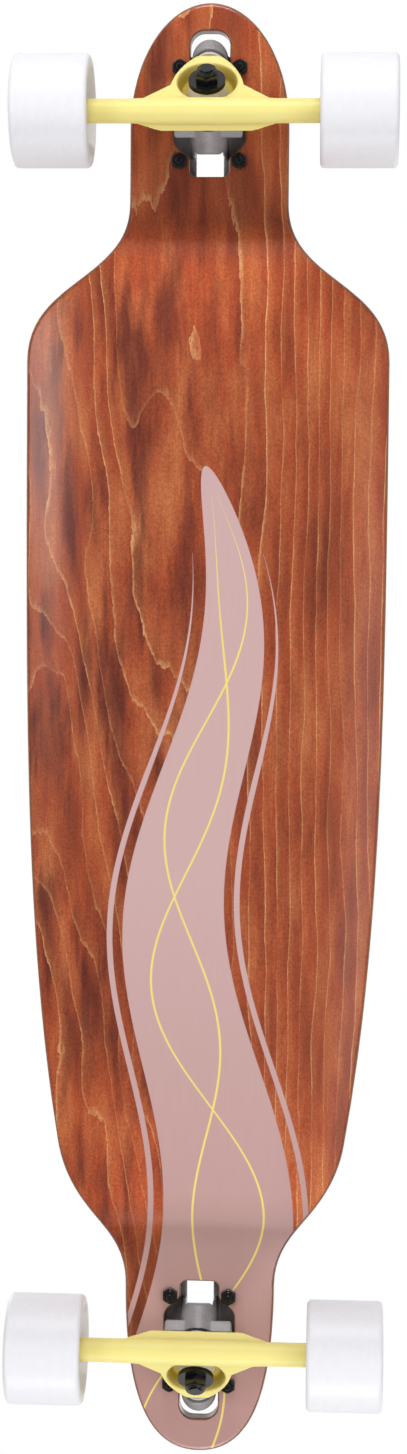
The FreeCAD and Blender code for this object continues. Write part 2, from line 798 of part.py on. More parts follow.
def bearing_balls():
    ball = Part.makeSphere(ball_diameter / 2, Vector(ball_pitch_diameter / 2, 0, 0))
    balls = []
    for i in range(ball_count):
        turned_ball = ball.copy()
        turned_ball.rotate(origin, along_y, 360 / ball_count * i)
        balls.append(turned_ball)
    return both_bearings(balls)


def bearing_shields():
    shield = turned_to_y(ring(outer_ring_bore - 2 * seat_clearance, shield_bore, 0, shield_thickness))
    place = bearing_width / 2 - shield_inset - shield_thickness
    return both_bearings(both_ends(moved(shield, 0, place, 0)))


def bearing_spacer():
    half = bearing_spacing / 2
    return turned_to_y(ring(bearing_spacer_diameter, axle_diameter + 2 * seat_clearance, -half, half))


save("deck", deck())
save("grip_tape", grip_tape())

truck_pieces = {
    "baseplate": baseplate, "pivot_cup": pivot_cup, "kingpin": kingpin, "kingpin_nut": kingpin_nut,
    "bushing_washers": bushing_washers, "boardside_bushing": boardside_bushing,
    "roadside_bushing": roadside_bushing, "hanger": hanger, "axle": axle, "axle_nuts": axle_nuts,
    "speed_washers": speed_washers, "mounting_bolts": mounting_bolts, "mounting_nuts": mounting_nuts,
}
for name, make in truck_pieces.items():
    piece = make()
    for end in ("front", "rear"):
        save(end + "_" + name, at_truck(piece, end))

wheel_pieces = {
    "tyre": tyre, "wheel_core": wheel_core, "bearing_outer_rings": bearing_outer_rings,
    "bearing_inner_rings": bearing_inner_rings, "bearing_balls": bearing_balls,
    "bearing_shields": bearing_shields, "bearing_spacer": bearing_spacer,
}
wheel_x = {"front": front_truck_place - axle_setback, "rear": axle_setback - rear_truck_place}
wheel_y = {"left": wheel_place, "right": -wheel_place}
for name, make in wheel_pieces.items():
    piece = make()
    for end, x in wheel_x.items():
        for side, y in wheel_y.items():
            save(end + "_" + side + "_" + name, moved(piece, x, y, axle_height))
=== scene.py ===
import json
import math

import bpy
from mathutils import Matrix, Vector

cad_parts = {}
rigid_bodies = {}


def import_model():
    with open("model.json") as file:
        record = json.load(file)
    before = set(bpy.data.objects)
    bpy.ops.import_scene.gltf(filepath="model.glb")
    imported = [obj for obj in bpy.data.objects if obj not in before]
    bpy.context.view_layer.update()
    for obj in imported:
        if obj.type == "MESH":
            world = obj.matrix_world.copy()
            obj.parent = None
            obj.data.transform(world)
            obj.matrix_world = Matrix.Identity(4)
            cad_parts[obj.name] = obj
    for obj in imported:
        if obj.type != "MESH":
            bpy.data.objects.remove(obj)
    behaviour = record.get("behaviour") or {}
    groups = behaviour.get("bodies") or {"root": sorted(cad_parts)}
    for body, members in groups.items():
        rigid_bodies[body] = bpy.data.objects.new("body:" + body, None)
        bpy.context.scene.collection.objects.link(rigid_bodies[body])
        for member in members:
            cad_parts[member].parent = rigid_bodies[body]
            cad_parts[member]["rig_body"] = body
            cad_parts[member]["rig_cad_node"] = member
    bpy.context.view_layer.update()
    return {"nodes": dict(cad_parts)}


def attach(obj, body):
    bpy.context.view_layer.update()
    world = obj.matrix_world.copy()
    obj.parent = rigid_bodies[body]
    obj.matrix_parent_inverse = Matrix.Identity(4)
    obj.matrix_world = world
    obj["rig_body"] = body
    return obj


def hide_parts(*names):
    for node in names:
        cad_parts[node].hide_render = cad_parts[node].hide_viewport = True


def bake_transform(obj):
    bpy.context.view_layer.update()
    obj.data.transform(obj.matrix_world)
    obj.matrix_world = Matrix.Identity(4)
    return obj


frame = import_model()
nodes = frame["nodes"]
ends = ("front", "rear")
corners = [end + "_" + side for end in ends for side in ("left", "right")]
millimetre = 0.001
print("frame loaded:", len(nodes), "nodes")


# sRGB hex to a linear colour
def hexColour(text):
    parts = [int(text[i:i + 2], 16) / 255 for i in (1, 3, 5)]
    return (*[c / 12.92 if c <= 0.04045 else ((c + 0.055) / 1.055) ** 2.4 for c in parts], 1)


# a node with its own settings, and its sockets as values or links
def addNode(tree, kind, sockets=None, **settings):
    node = tree.nodes.new("ShaderNode" + kind)
    for name, value in settings.items():
        setattr(node, name, value)
    for name, value in (sockets or {}).items():
        if isinstance(value, bpy.types.NodeSocket):
            tree.links.new(value, node.inputs[name])
        else:
            node.inputs[name].default_value = value
    return node


# an empty material, its tree, its shader and a millimetre grid on the piece's own coordinates
def startMaterial(name):
    material = bpy.data.materials.new(name)
    material.use_nodes = True
    tree = material.node_tree
    tree.nodes.clear()
    shader = addNode(tree, "BsdfPrincipled")
    addNode(tree, "OutputMaterial", {"Surface": shader.outputs["BSDF"]})
    place = addNode(tree, "TexCoord").outputs["Object"]
    grid = addNode(tree, "VectorMath", {0: place, 1: (1 / millimetre,) * 3}, operation="MULTIPLY")
    return material, tree, shader, grid.outputs["Vector"]


# Red-brown stained veneer under satin lacquer: wavy pale ring lines, short fibres and blotches where the
# stain sank in. Lengths are in mm, along x and across y
veneer = {
    "deep": "#863b22", "mid": "#b1502c", "light": "#d27b48", "dark": "#66291f", "line": "#e8ad75",
    "deepAt": 0.28, "midAt": 0.5, "lightAt": 0.75,  # where each tone sits in its noise
    # ring spacing, sway in rings and slant, different on the two halves
    "halfBlend": 55.0, "leftRing": 16.0, "rightRing": 9.0, "leftSwing": 7.2, "rightSwing": 1.4,
    "leftSlant": 88.0, "drift": 1.2, "leftTeeth": 0.24, "rightTeeth": 0.14,
    # pale hairline and the fade beside it, as shares of a ring
    "hair": 0.11, "fade": 0.7, "fadeStrength": 0.55, "faintest": 0.35, "gaps": (0.25, 0.6),
    "smudges": (0.43, 0.68), "leftSmudge": 0.9, "rightSmudge": 0.25,
    "fibres": (0.25, 0.75), "fibreTones": (0.86, 1.14),
    "stippleSize": 1.5, "stippleDetail": 1, "stippleRoughness": 0.6, "stipples": (0.2, 0.8),
    "stippleTones": (0.72, 1.28),
    # painted light: brightness of the wood at each distance from the middle, as a share: painted shadow on
    # the necks behind the axle bars, painted sheen before the bends
    "tones": ((0, 0.82), (240, 0.84), (325, 1.14), (342, 1.08), (358, 0.64), (418, 0.64), (450, 0.96),
              (508, 1.0)),
    # noises: offset, length and width, turn, detail, roughness
    "noises": {
        "swing": ((3.1, 1.7, 0), (240, 62), 0, 1.5, 0.4),
        "drift": ((7.4, 2.2, 0), (120, 30), 0, 2, 0.5),
        "jag": ((0, 0, 0), (14, 3.2), 0, 2, 0.6),
        "gaps": ((0, 5, 0), (60, 16), 0, 2, 0.5),
        "tone": ((1.3, 0.4, 0), (110, 26), 0, 3, 0.55),
        "fibre": ((0, 0, 0), (38, 1.1), 0, 3, 0.6),
        "smudge": ((2.6, 8.1, 0), (105, 17), 0.12, 3, 0.55),
    },
    # lacquer
    "peelSize": 1.8, "peelDetail": 2, "gloss": (0.24, 0.4), "fibreBump": 0.5, "bump": 0.12, "depth": 0.2,
    "specular": 0.4, "coat": 0.12, "coatRoughness": 0.12,
}


def ringedWood(tree, at, noise):
    left = addNode(tree, "MapRange", {"Value": at["across"], "From Min": veneer["halfBlend"],
                                      "From Max": -veneer["halfBlend"]},
                   interpolation_type="SMOOTHSTEP").outputs[0]

    # height field whose level lines are the growth rings: lazy swings on the left, straight on the right
    reach = addNode(tree, "MapRange", {"Value": left, "To Min": veneer["rightSwing"],
                                       "To Max": veneer["leftSwing"]}).outputs[0]
    teeth = addNode(tree, "MapRange", {"Value": left, "To Min": veneer["rightTeeth"],
                                       "To Max": veneer["leftTeeth"]}).outputs[0]
    slant = addNode(tree, "Math", {0: left, 1: 1 / veneer["leftSlant"]}, operation="MULTIPLY").outputs[0]
    leftShare, rightShare = 1 / veneer["leftRing"], 1 / veneer["rightRing"]
    level = addNode(tree, "Math", {0: at["wing"], 1: (rightShare - leftShare) / 2},
                    operation="MULTIPLY").outputs[0]
    for field, share in ((at["across"], (rightShare + leftShare) / 2), (noise["swing"], reach),
                         (at["along"], slant), (noise["drift"], veneer["drift"]), (noise["jag"], teeth)):
        level = addNode(tree, "Math", {0: field, 1: share, 2: level}, operation="MULTIPLY_ADD").outputs[0]
    ring = addNode(tree, "Math", {0: level}, operation="FRACT").outputs[0]
    number = addNode(tree, "Math", {0: level}, operation="FLOOR").outputs[0]
    vigour = addNode(tree, "TexWhiteNoise", {"W": number}, noise_dimensions="1D").outputs["Value"]
    vigour = addNode(tree, "MapRange", {"Value": vigour, "To Min": veneer["faintest"]}).outputs[0]

    # pale hairline at each ring, with a soft fade on one side, both broken by gaps
    gaps = addNode(tree, "MapRange", {"Value": noise["gaps"], "From Min": veneer["gaps"][0],
                                      "From Max": veneer["gaps"][1]}).outputs[0]
    strength = addNode(tree, "Math", {0: vigour, 1: gaps}, operation="MULTIPLY").outputs[0]
    marks = []
    for width, most in ((veneer["fade"], veneer["fadeStrength"]), (veneer["hair"], 1.0)):
        mark = addNode(tree, "MapRange", {"Value": ring, "From Min": 0.0, "From Max": width, "To Min": most,
                                          "To Max": 0.0}, interpolation_type="SMOOTHSTEP").outputs[0]
        marks.append(addNode(tree, "Math", {0: mark, 1: strength}, operation="MULTIPLY",
                             use_clamp=True).outputs[0])

    # broad tone and smudges under the marks
    base = addNode(tree, "ValToRGB", {"Fac": noise["tone"]})
    stops = base.color_ramp.elements
    stops[0].position, stops[0].color = veneer["deepAt"], hexColour(veneer["deep"])
    stops[1].position, stops[1].color = veneer["lightAt"], hexColour(veneer["light"])
    stops.new(veneer["midAt"]).color = hexColour(veneer["mid"])
    most = addNode(tree, "MapRange", {"Value": left, "To Min": veneer["rightSmudge"],
                                      "To Max": veneer["leftSmudge"]}).outputs[0]
    smudge = addNode(tree, "MapRange", {"Value": noise["smudge"], "From Min": veneer["smudges"][0],
                                        "From Max": veneer["smudges"][1], "To Max": most},
                     interpolation_type="SMOOTHSTEP").outputs[0]
    colour = base.outputs[0]
    for mask, tone in ((smudge, "dark"), (marks[0], "light"), (marks[1], "line")):
        colour = addNode(tree, "MixRGB", {"Fac": mask, "Color1": colour,
                                          "Color2": hexColour(veneer[tone])}).outputs[0]
    return colour


# Screen print under the lacquer: a band that widens from its tip to the tail and sways, a stripe on each
# side of it and two crossing pinstripes, all in mm
bandPrint = {
    "colour": "#cfacaa", "tail": "#bb918c", "pin": "#f5de7a",
    "tip": 190.0, "grow": 2.0, "swing": 20.0, "wave": 420.0, "edge": 0.25,
    "stripeGap": 9.0, "stripeHalf": 2.0, "stripeStart": 60.0, "stripeFull": 220.0,
    "pinHalf": 0.75, "pinEdge": 0.2, "pinWave": 300.0, "pinReach": 0.55, "pinStart": 20.0, "pinFull": 140.0,
    "greyFrom": -100.0, "greyTo": -480.0, "inkTones": (0.975, 1.025), "underside": (-0.8, -0.88),
}


def printedOver(tree, at, fibre, colour):
    fromTip = addNode(tree, "Math", {0: bandPrint["tip"], 1: at["along"]}, operation="SUBTRACT").outputs[0]
    behindTip = addNode(tree, "Math", {0: fromTip, 1: 0.0}, operation="MAXIMUM").outputs[0]
    half = addNode(tree, "Math", {0: behindTip}, operation="SQRT").outputs[0]
    half = addNode(tree, "Math", {0: half, 1: bandPrint["grow"]}, operation="MULTIPLY").outputs[0]
    waves = []
    for length in (bandPrint["wave"], bandPrint["pinWave"]):
        turn = addNode(tree, "Math", {0: fromTip, 1: 2 * math.pi / length}, operation="MULTIPLY").outputs[0]
        waves.append(addNode(tree, "Math", {0: turn}, operation="SINE").outputs[0])
    sway, weave = waves
    off = addNode(tree, "Math", {0: sway, 1: -bandPrint["swing"], 2: at["across"]},
                  operation="MULTIPLY_ADD").outputs[0]
    aside = addNode(tree, "Math", {0: off}, operation="ABSOLUTE").outputs[0]
    beyond = addNode(tree, "Math", {0: aside, 1: half}, operation="SUBTRACT").outputs[0]

    # distances outside the edges of the stripes and of the pinstripes
    stripe = addNode(tree, "Math", {0: beyond, 1: -bandPrint["stripeGap"]}, operation="ADD").outputs[0]
    stripe = addNode(tree, "Math", {0: stripe}, operation="ABSOLUTE").outputs[0]
    stripeHalf = addNode(tree, "MapRange", {"Value": fromTip, "From Min": bandPrint["stripeStart"],
                                            "From Max": bandPrint["stripeFull"],
                                            "To Max": bandPrint["stripeHalf"]}).outputs[0]
    stripe = addNode(tree, "Math", {0: stripe, 1: stripeHalf}, operation="SUBTRACT").outputs[0]
    weave = addNode(tree, "Math", {0: weave, 1: half}, operation="MULTIPLY").outputs[0]
    pinHalf = addNode(tree, "MapRange", {"Value": fromTip, "From Min": bandPrint["pinStart"],
                                         "From Max": bandPrint["pinFull"],
                                         "To Max": bandPrint["pinHalf"]}).outputs[0]
    pins = []
    for reach in (bandPrint["pinReach"], -bandPrint["pinReach"]):
        pin = addNode(tree, "Math", {0: weave, 1: reach, 2: off}, operation="MULTIPLY_ADD").outputs[0]
        pin = addNode(tree, "Math", {0: pin}, operation="ABSOLUTE").outputs[0]
        pins.append(addNode(tree, "Math", {0: pin, 1: pinHalf}, operation="SUBTRACT").outputs[0])

    # each distance turned into ink behind its start, on the underside alone
    under = addNode(tree, "MapRange", {"Value": at["facing"], "From Min": bandPrint["underside"][0],
                                       "From Max": bandPrint["underside"][1]}).outputs[0]
    inks = []
    for distance, edge, start in ((beyond, bandPrint["edge"], 0.0),
                                  (stripe, bandPrint["edge"], bandPrint["stripeStart"]),
                                  (pins[0], bandPrint["pinEdge"], bandPrint["pinStart"]),
                                  (pins[1], bandPrint["pinEdge"], bandPrint["pinStart"])):
        ink = addNode(tree, "MapRange", {"Value": distance, "From Min": edge, "From Max": -edge}).outputs[0]
        begun = addNode(tree, "Math", {0: fromTip, 1: start}, operation="GREATER_THAN").outputs[0]
        ink = addNode(tree, "Math", {0: ink, 1: begun}, operation="MULTIPLY").outputs[0]
        inks.append(addNode(tree, "Math", {0: ink, 1: under}, operation="MULTIPLY").outputs[0])
    band = addNode(tree, "Math", {0: inks[0], 1: inks[1]}, operation="MAXIMUM").outputs[0]
    pin = addNode(tree, "Math", {0: inks[2], 1: inks[3]}, operation="MAXIMUM").outputs[0]

    # the band greys towards the tail and lets a trace of the fibres through
    tailward = addNode(tree, "MapRange", {"Value": at["along"], "From Min": bandPrint["greyFrom"],
                                          "From Max": bandPrint["greyTo"]}).outputs[0]
    paint = addNode(tree, "MixRGB", {"Fac": tailward, "Color1": hexColour(bandPrint["colour"]),
                                     "Color2": hexColour(bandPrint["tail"])}).outputs[0]
    trace = addNode(tree, "MapRange", {"Value": fibre, "From Min": veneer["fibres"][0],
                                       "From Max": veneer["fibres"][1], "To Min": bandPrint["inkTones"][0],
                                       "To Max": bandPrint["inkTones"][1]}).outputs[0]
    paint = addNode(tree, "VectorMath", {0: paint, "Scale": trace}, operation="SCALE").outputs[0]
    colour = addNode(tree, "MixRGB", {"Fac": band, "Color1": colour, "Color2": paint}).outputs[0]
    return addNode(tree, "MixRGB", {"Fac": pin, "Color1": colour,
                                    "Color2": hexColour(bandPrint["pin"])}).outputs[0]


# Sanded plywood edge: pale and dark plies that follow the pressed drop and the raised sides, in mm
edgePlies = {
    "pale": "#8d5a3a", "dark": "#633522", "thickness": 1.57, "bottom": 80.5, "blur": (0.55, 1.45),
    "bend": (306.0, 380.0), "drop": 8.0, "flank": (74.0, 126.0),
    "flankRoot": 2.53,  # squared, the rise of the sides
    "edge": (-0.86, -0.78),  # how far the surface has turned from facing down
}


def edgeOver(tree, at, grain, colour):
    bend = addNode(tree, "MapRange", {"Value": at["side"], "From Min": edgePlies["bend"][0],
                                      "From Max": edgePlies["bend"][1], "To Max": edgePlies["drop"]},
                   interpolation_type="SMOOTHSTEP").outputs[0]
    flank = addNode(tree, "MapRange", {"Value": at["wing"], "From Min": edgePlies["flank"][0],
                                       "From Max": edgePlies["flank"][1],
                                       "To Max": edgePlies["flankRoot"]}).outputs[0]
    lift = addNode(tree, "Math", {0: flank, 1: flank, 2: bend}, operation="MULTIPLY_ADD").outputs[0]
    height = addNode(tree, "Math", {0: at["up"], 1: lift}, operation="SUBTRACT").outputs[0]
    height = addNode(tree, "Math", {0: height, 1: edgePlies["bottom"]}, operation="SUBTRACT").outputs[0]
    ply = addNode(tree, "Math", {0: height, 1: edgePlies["thickness"] * 2}, operation="PINGPONG").outputs[0]
    low, high = [share * edgePlies["thickness"] for share in edgePlies["blur"]]
    share = addNode(tree, "MapRange", {"Value": ply, "From Min": low, "From Max": high},
                    interpolation_type="SMOOTHERSTEP").outputs[0]
    plies = addNode(tree, "MixRGB", {"Fac": share, "Color1": hexColour(edgePlies["pale"]),
                                     "Color2": hexColour(edgePlies["dark"])}).outputs[0]
    plies = addNode(tree, "VectorMath", {0: plies, "Scale": grain}, operation="SCALE").outputs[0]
    onEdge = addNode(tree, "MapRange", {"Value": at["facing"], "From Min": edgePlies["edge"][0],
                                        "From Max": edgePlies["edge"][1]}).outputs[0]
    return addNode(tree, "MixRGB", {"Fac": onEdge, "Color1": colour, "Color2": plies}).outputs[0]


def stainedVeneer():
    material, tree, shader, grid = startMaterial("stained_veneer")
    axis = addNode(tree, "SeparateXYZ", {0: grid})
    at = {"along": axis.outputs["X"], "across": axis.outputs["Y"], "up": axis.outputs["Z"]}
    at["side"] = addNode(tree, "Math", {0: at["along"]}, operation="ABSOLUTE").outputs[0]
    at["wing"] = addNode(tree, "Math", {0: at["across"]}, operation="ABSOLUTE").outputs[0]
    normal = addNode(tree, "TexCoord").outputs["Normal"]
    at["facing"] = addNode(tree, "SeparateXYZ", {0: normal}).outputs["Z"]
    noise = {}
    for name, (offset, (length, width), turn, detail, roughness) in veneer["noises"].items():
        spot = addNode(tree, "Mapping", {"Vector": grid, "Location": offset, "Rotation": (0, 0, turn),
                                         "Scale": (1 / length, 1 / width, 0)}).outputs[0]
        noise[name] = addNode(tree, "TexNoise", {"Vector": spot, "Scale": 1, "Detail": detail,
                                                 "Roughness": roughness}).outputs[0]
    stipple = addNode(tree, "TexNoise", {"Vector": grid, "Scale": 1 / veneer["stippleSize"],
                                         "Detail": veneer["stippleDetail"],
                                         "Roughness": veneer["stippleRoughness"]}).outputs[0]

    # fibres and stipple over the rings
    tones = []
    for field, span, tone in ((stipple, veneer["stipples"], veneer["stippleTones"]),
                              (noise["fibre"], veneer["fibres"], veneer["fibreTones"])):
        tones.append(addNode(tree, "MapRange", {"Value": field, "From Min": span[0], "From Max": span[1],
                                                "To Min": tone[0], "To Max": tone[1]}).outputs[0])
    grain = addNode(tree, "Math", {0: tones[0], 1: tones[1]}, operation="MULTIPLY").outputs[0]
    colour = ringedWood(tree, at, noise)
    colour = addNode(tree, "VectorMath", {0: colour, "Scale": grain}, operation="SCALE").outputs[0]

    # painted shadow on the necks and painted sheen before the bends, multiplied into the wood
    tip = veneer["tones"][-1][0]
    reach = addNode(tree, "Math", {0: at["side"], 1: tip}, operation="DIVIDE").outputs[0]
    paintedLightRamp = addNode(tree, "ValToRGB", {"Fac": reach})
    stops = paintedLightRamp.color_ramp.elements
    stops[0].color = (veneer["tones"][0][1],) * 3 + (1,)
    stops[1].color = (veneer["tones"][-1][1],) * 3 + (1,)
    for distance, share in veneer["tones"][1:-1]:
        stops.new(distance / tip).color = (share,) * 3 + (1,)
    colour = addNode(tree, "VectorMath", {0: colour, 1: paintedLightRamp.outputs[0]}, operation="MULTIPLY").outputs[0]
    colour = printedOver(tree, at, noise["fibre"], colour)
    colour = edgeOver(tree, at, grain, colour)
    tree.links.new(colour, shader.inputs["Base Color"])

    # satin lacquer: fine peel and a trace of the fibres
    peel = addNode(tree, "TexNoise", {"Vector": grid, "Scale": 1 / veneer["peelSize"],
                                      "Detail": veneer["peelDetail"]}).outputs[0]
    gloss = addNode(tree, "MapRange", {"Value": stipple, "To Min": veneer["gloss"][0],
                                       "To Max": veneer["gloss"][1]}).outputs[0]
    tree.links.new(gloss, shader.inputs["Roughness"])
    rough = addNode(tree, "Math", {0: noise["fibre"], 1: veneer["fibreBump"], 2: peel},
                    operation="MULTIPLY_ADD").outputs[0]
    bump = addNode(tree, "Bump", {"Strength": veneer["bump"], "Distance": veneer["depth"] * millimetre,
                                  "Height": rough})
    tree.links.new(bump.outputs[0], shader.inputs["Normal"])
    shader.inputs["Specular IOR Level"].default_value = veneer["specular"]
    shader.inputs["Coat Weight"].default_value = veneer["coat"]
    shader.inputs["Coat Roughness"].default_value = veneer["coatRoughness"]
    return material


# Silicon-carbide grit on paper: near black, grains of about 0.4 mm drawn at 0.9 mm so that they show
grit = {"dark": "#131314", "light": "#3a3a3c", "grain": 0.9, "wear": 90.0, "wearDetail": 4, "bump": 0.8,
        "depth": 0.6, "roughness": 0.85}


def gripGrit():
    material, tree, shader, grid = startMaterial("grip_tape")
    cells = addNode(tree, "TexVoronoi", {"Vector": grid, "Scale": 1 / grit["grain"]})
    wear = addNode(tree, "TexNoise", {"Vector": grid, "Scale": 1 / grit["wear"],
                                      "Detail": grit["wearDetail"]})
    lit = addNode(tree, "SeparateXYZ", {0: cells.outputs["Color"]}).outputs["X"]
    lit = addNode(tree, "Math", {0: lit, 1: wear.outputs[0]}, operation="MULTIPLY").outputs[0]
    colour = addNode(tree, "MixRGB", {"Fac": lit, "Color1": hexColour(grit["dark"]),
                                      "Color2": hexColour(grit["light"])})
    tree.links.new(colour.outputs[0], shader.inputs["Base Color"])
    bump = addNode(tree, "Bump", {"Strength": grit["bump"], "Distance": grit["depth"] * millimetre,
                                  "Height": cells.outputs["Distance"]})
    tree.links.new(bump.outputs[0], shader.inputs["Normal"])
    shader.inputs["Roughness"].default_value = grit["roughness"]
    return material


# Pastel yellow stove enamel on a casting: smooth, satin, faint orange peel, and painted shade: a deeper
# yellow in the hollows and beside neighbouring parts, where shade falls
enamel = {"base": "#faee96", "warm": "#f7e788", "drift": 24.0, "driftDetail": 3, "paintedShade": "#a88a12",
          "shadeReach": 16.0, "shadeSamples": 8, "shadeSpan": (0.35, 0.92), "peel": 2.6, "peelDetail": 2, "bump": 0.1,
          "depth": 0.3, "gloss": (0.42, 0.52)}


def yellowEnamel():
    material, tree, shader, grid = startMaterial("yellow_enamel")
    drift = addNode(tree, "TexNoise", {"Vector": grid, "Scale": 1 / enamel["drift"],
                                       "Detail": enamel["driftDetail"]})
    colour = addNode(tree, "MixRGB", {"Fac": drift.outputs[0], "Color1": hexColour(enamel["base"]),
                                      "Color2": hexColour(enamel["warm"])})
    # painted shade: ambient occlusion deepens the yellow in hollows and beside neighbouring parts
    clear = addNode(tree, "AmbientOcclusion", {"Distance": enamel["shadeReach"] * millimetre},
                    samples=enamel["shadeSamples"]).outputs["AO"]
    clear = addNode(tree, "MapRange", {"Value": clear, "From Min": enamel["shadeSpan"][0],
                                       "From Max": enamel["shadeSpan"][1]}).outputs[0]
    colour = addNode(tree, "MixRGB", {"Fac": clear, "Color1": hexColour(enamel["paintedShade"]),
                                      "Color2": colour.outputs[0]})
    tree.links.new(colour.outputs[0], shader.inputs["Base Color"])
    peel = addNode(tree, "TexNoise", {"Vector": grid, "Scale": 1 / enamel["peel"],
                                      "Detail": enamel["peelDetail"]})
    bump = addNode(tree, "Bump", {"Strength": enamel["bump"], "Distance": enamel["depth"] * millimetre,
                                  "Height": peel.outputs[0]})
    tree.links.new(bump.outputs[0], shader.inputs["Normal"])
    gloss = addNode(tree, "MapRange", {"Value": drift.outputs[0], "To Min": enamel["gloss"][0],
                                       "To Max": enamel["gloss"][1]})
    tree.links.new(gloss.outputs[0], shader.inputs["Roughness"])
    return material


# Sand-cast aluminium, tumbled and left bare: grey and grainy, with painted shade darkening its hollows and
# the faces beside other parts
casting = {"base": "#b3b0b2", "dark": "#8f8c8f", "grain": 0.9, "grainRoughness": 0.6, "cloud": 16.0,
           "detail": 3, "spread": (0.7, 1.3), "paintedShade": "#5f5c60", "reach": 12.0, "hollowSamples": 8,
           "hollows": (0.3, 0.9), "bump": 0.35, "depth": 0.3, "metallic": 0.35, "roughness": 0.5}


def castAluminium():
    material, tree, shader, grid = startMaterial("cast_aluminium")
    grain = addNode(tree, "TexNoise", {"Vector": grid, "Scale": 1 / casting["grain"],
                                       "Detail": casting["detail"], "Roughness": casting["grainRoughness"]})
    cloud = addNode(tree, "TexNoise", {"Vector": grid, "Scale": 1 / casting["cloud"],
                                       "Detail": casting["detail"]})
    blend = addNode(tree, "Math", {0: grain.outputs[0], 1: cloud.outputs[0]}, operation="ADD").outputs[0]
    blend = addNode(tree, "MapRange", {"Value": blend, "From Min": casting["spread"][0],
                                       "From Max": casting["spread"][1]}).outputs[0]
    colour = addNode(tree, "MixRGB", {"Fac": blend, "Color1": hexColour(casting["dark"]),
                                      "Color2": hexColour(casting["base"])})
    # painted shade: ambient occlusion darkens the grey in hollows and beside neighbouring parts
    clear = addNode(tree, "AmbientOcclusion", {"Distance": casting["reach"] * millimetre},
                    samples=casting["hollowSamples"]).outputs["AO"]
    clear = addNode(tree, "MapRange", {"Value": clear, "From Min": casting["hollows"][0],
                                       "From Max": casting["hollows"][1]}).outputs[0]
    colour = addNode(tree, "MixRGB", {"Fac": clear, "Color1": hexColour(casting["paintedShade"]),
                                      "Color2": colour.outputs[0]})
    tree.links.new(colour.outputs[0], shader.inputs["Base Color"])
    bump = addNode(tree, "Bump", {"Strength": casting["bump"], "Distance": casting["depth"] * millimetre,
                                  "Height": grain.outputs[0]})
    tree.links.new(bump.outputs[0], shader.inputs["Normal"])
    shader.inputs["Metallic"].default_value = casting["metallic"]
    shader.inputs["Roughness"].default_value = casting["roughness"]
    return material


# Plain turned, rolled or moulded finishes: two close tones in a noise of so many mm, metallic, roughness
# and bump, and a coat where there is one
finishes = {
    # oxide-blackened steel: near black, oily sheen
    "black_steel": {"tones": ("#0d0d0e", "#1e1e21"), "grain": 1.2, "metallic": 0.2, "roughness": 0.2,
                    "bump": 0.2, "coat": 0.35},
    # zinc-plated steel: cool pale grey, faintly mottled
    "zinc_steel": {"tones": ("#a3a6aa", "#c0c3c6"), "grain": 1.5, "metallic": 1.0, "roughness": 0.32,
                   "bump": 0.1},
    # cast polyurethane bushing: cream, soft satin
    "cream_urethane": {"tones": ("#ece6d8", "#f5f1e8"), "grain": 3.0, "metallic": 0.0, "roughness": 0.4,
                       "bump": 0.06},
    # pivot cup urethane: off-white, waxy
    "pale_urethane": {"tones": ("#cfccc6", "#dedbd6"), "grain": 2.5, "metallic": 0.0, "roughness": 0.4,
                      "bump": 0.06},
    # wheel urethane: white, poured and turned, slightly lavender in shade
    "white_urethane": {"tones": ("#eeedf2", "#f2f1f5"), "grain": 5.0, "metallic": 0.0, "roughness": 0.42,
                       "bump": 0.05},
    # moulded nylon hub: beige, dull
    "beige_nylon": {"tones": ("#bfb6a8", "#cdc5b8"), "grain": 4.0, "metallic": 0.0, "roughness": 0.5,
                    "bump": 0.1},
    # ground and honed bearing steel: bright, nearly a mirror
    "bearing_steel": {"tones": ("#b4b6b9", "#cccdd0"), "grain": 0.8, "metallic": 1.0, "roughness": 0.22,
                      "bump": 0.05},
    # rubbered bearing shield: dull black
    "shield_rubber": {"tones": ("#1d1d1f", "#2b2b2e"), "grain": 0.8, "metallic": 0.0, "roughness": 0.55,
                      "bump": 0.1},
    # turned aluminium tube: soft grey shine
    "turned_aluminium": {"tones": ("#b3b4b6", "#c9cacb"), "grain": 0.7, "metallic": 1.0, "roughness": 0.35,
                         "bump": 0.1},
}
# what they share
finishCommon = {"detail": 4, "grainRoughness": 0.6, "spread": (0.3, 0.7), "gloss": 0.05, "depth": 0.2,
                "coatRoughness": 0.14}


def plainFinish(name):
    finish = finishes[name]
    material, tree, shader, grid = startMaterial(name)
    grain = addNode(tree, "TexNoise", {"Vector": grid, "Scale": 1 / finish["grain"],
                                       "Detail": finishCommon["detail"],
                                       "Roughness": finishCommon["grainRoughness"]})
    spread = addNode(tree, "MapRange", {"Value": grain.outputs[0], "From Min": finishCommon["spread"][0],
                                        "From Max": finishCommon["spread"][1]}).outputs[0]
    colour = addNode(tree, "MixRGB", {"Fac": spread, "Color1": hexColour(finish["tones"][0]),
                                      "Color2": hexColour(finish["tones"][1])})
    tree.links.new(colour.outputs[0], shader.inputs["Base Color"])
    gloss = addNode(tree, "MapRange", {"Value": spread,
                                       "To Min": finish["roughness"] - finishCommon["gloss"],
                                       "To Max": finish["roughness"] + finishCommon["gloss"]})
    tree.links.new(gloss.outputs[0], shader.inputs["Roughness"])
    bump = addNode(tree, "Bump", {"Strength": finish["bump"], "Distance": finishCommon["depth"] * millimetre,
                                  "Height": grain.outputs[0]})
    tree.links.new(bump.outputs[0], shader.inputs["Normal"])
    shader.inputs["Metallic"].default_value = finish["metallic"]
    shader.inputs["Coat Weight"].default_value = finish.get("coat", 0.0)
    shader.inputs["Coat Roughness"].default_value = finishCommon["coatRoughness"]
    return material


materials = {"veneer": stainedVeneer(), "grip": gripGrit(), "enamel": yellowEnamel(),
             "casting": castAluminium()}
materials.update({name: plainFinish(name) for name in finishes})
print("materials made:", len(materials))

